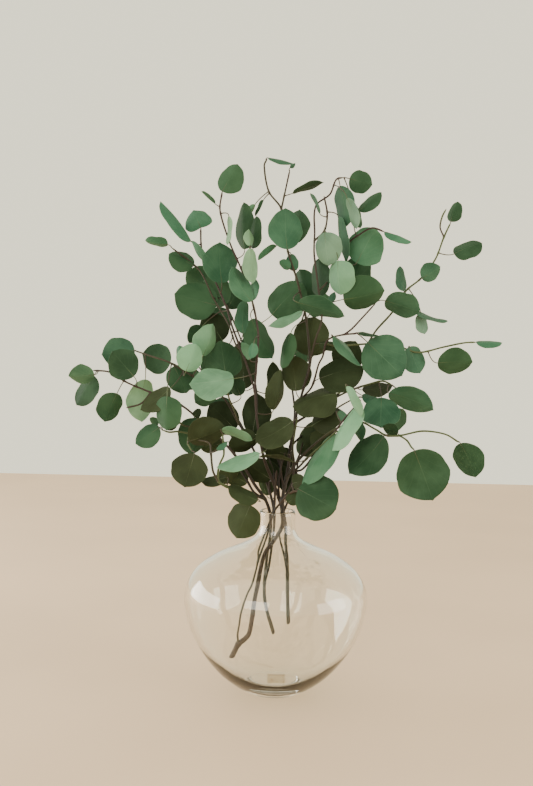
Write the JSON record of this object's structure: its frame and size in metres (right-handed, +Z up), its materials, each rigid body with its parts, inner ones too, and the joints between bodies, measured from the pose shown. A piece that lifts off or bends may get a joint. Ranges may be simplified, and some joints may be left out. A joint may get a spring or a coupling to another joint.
{
  "type": "eucalyptus branches in a vase",
  "caption": "Cut branches with round leaves on thin stalks, standing loose in a squat round clear vase with a short narrow neck.",
  "frame": {"origin": "middle of the vase's flat base, on the surface that it stands on", "axes": "+Z up along the vase's axis, -Y towards the viewer, +X to the viewer's right"},
  "size_m": [0.4664, 0.2638, 0.582],
  "materials": {
    "vase": "clear polished blown glass",
    "base_label": "blank tan paper",
    "branch_left": "matt green leaves on brown bark",
    "branch_middle": "matt green leaves on brown bark",
    "branch_right": "matt green leaves on brown bark"
  },
  "bodies": {
    "root": {"vase": "vase", "base_label": "base_label", "branch_left": "branch_left", "branch_middle": "branch_middle", "branch_right": "branch_right"}
  },
  "joints": []
}
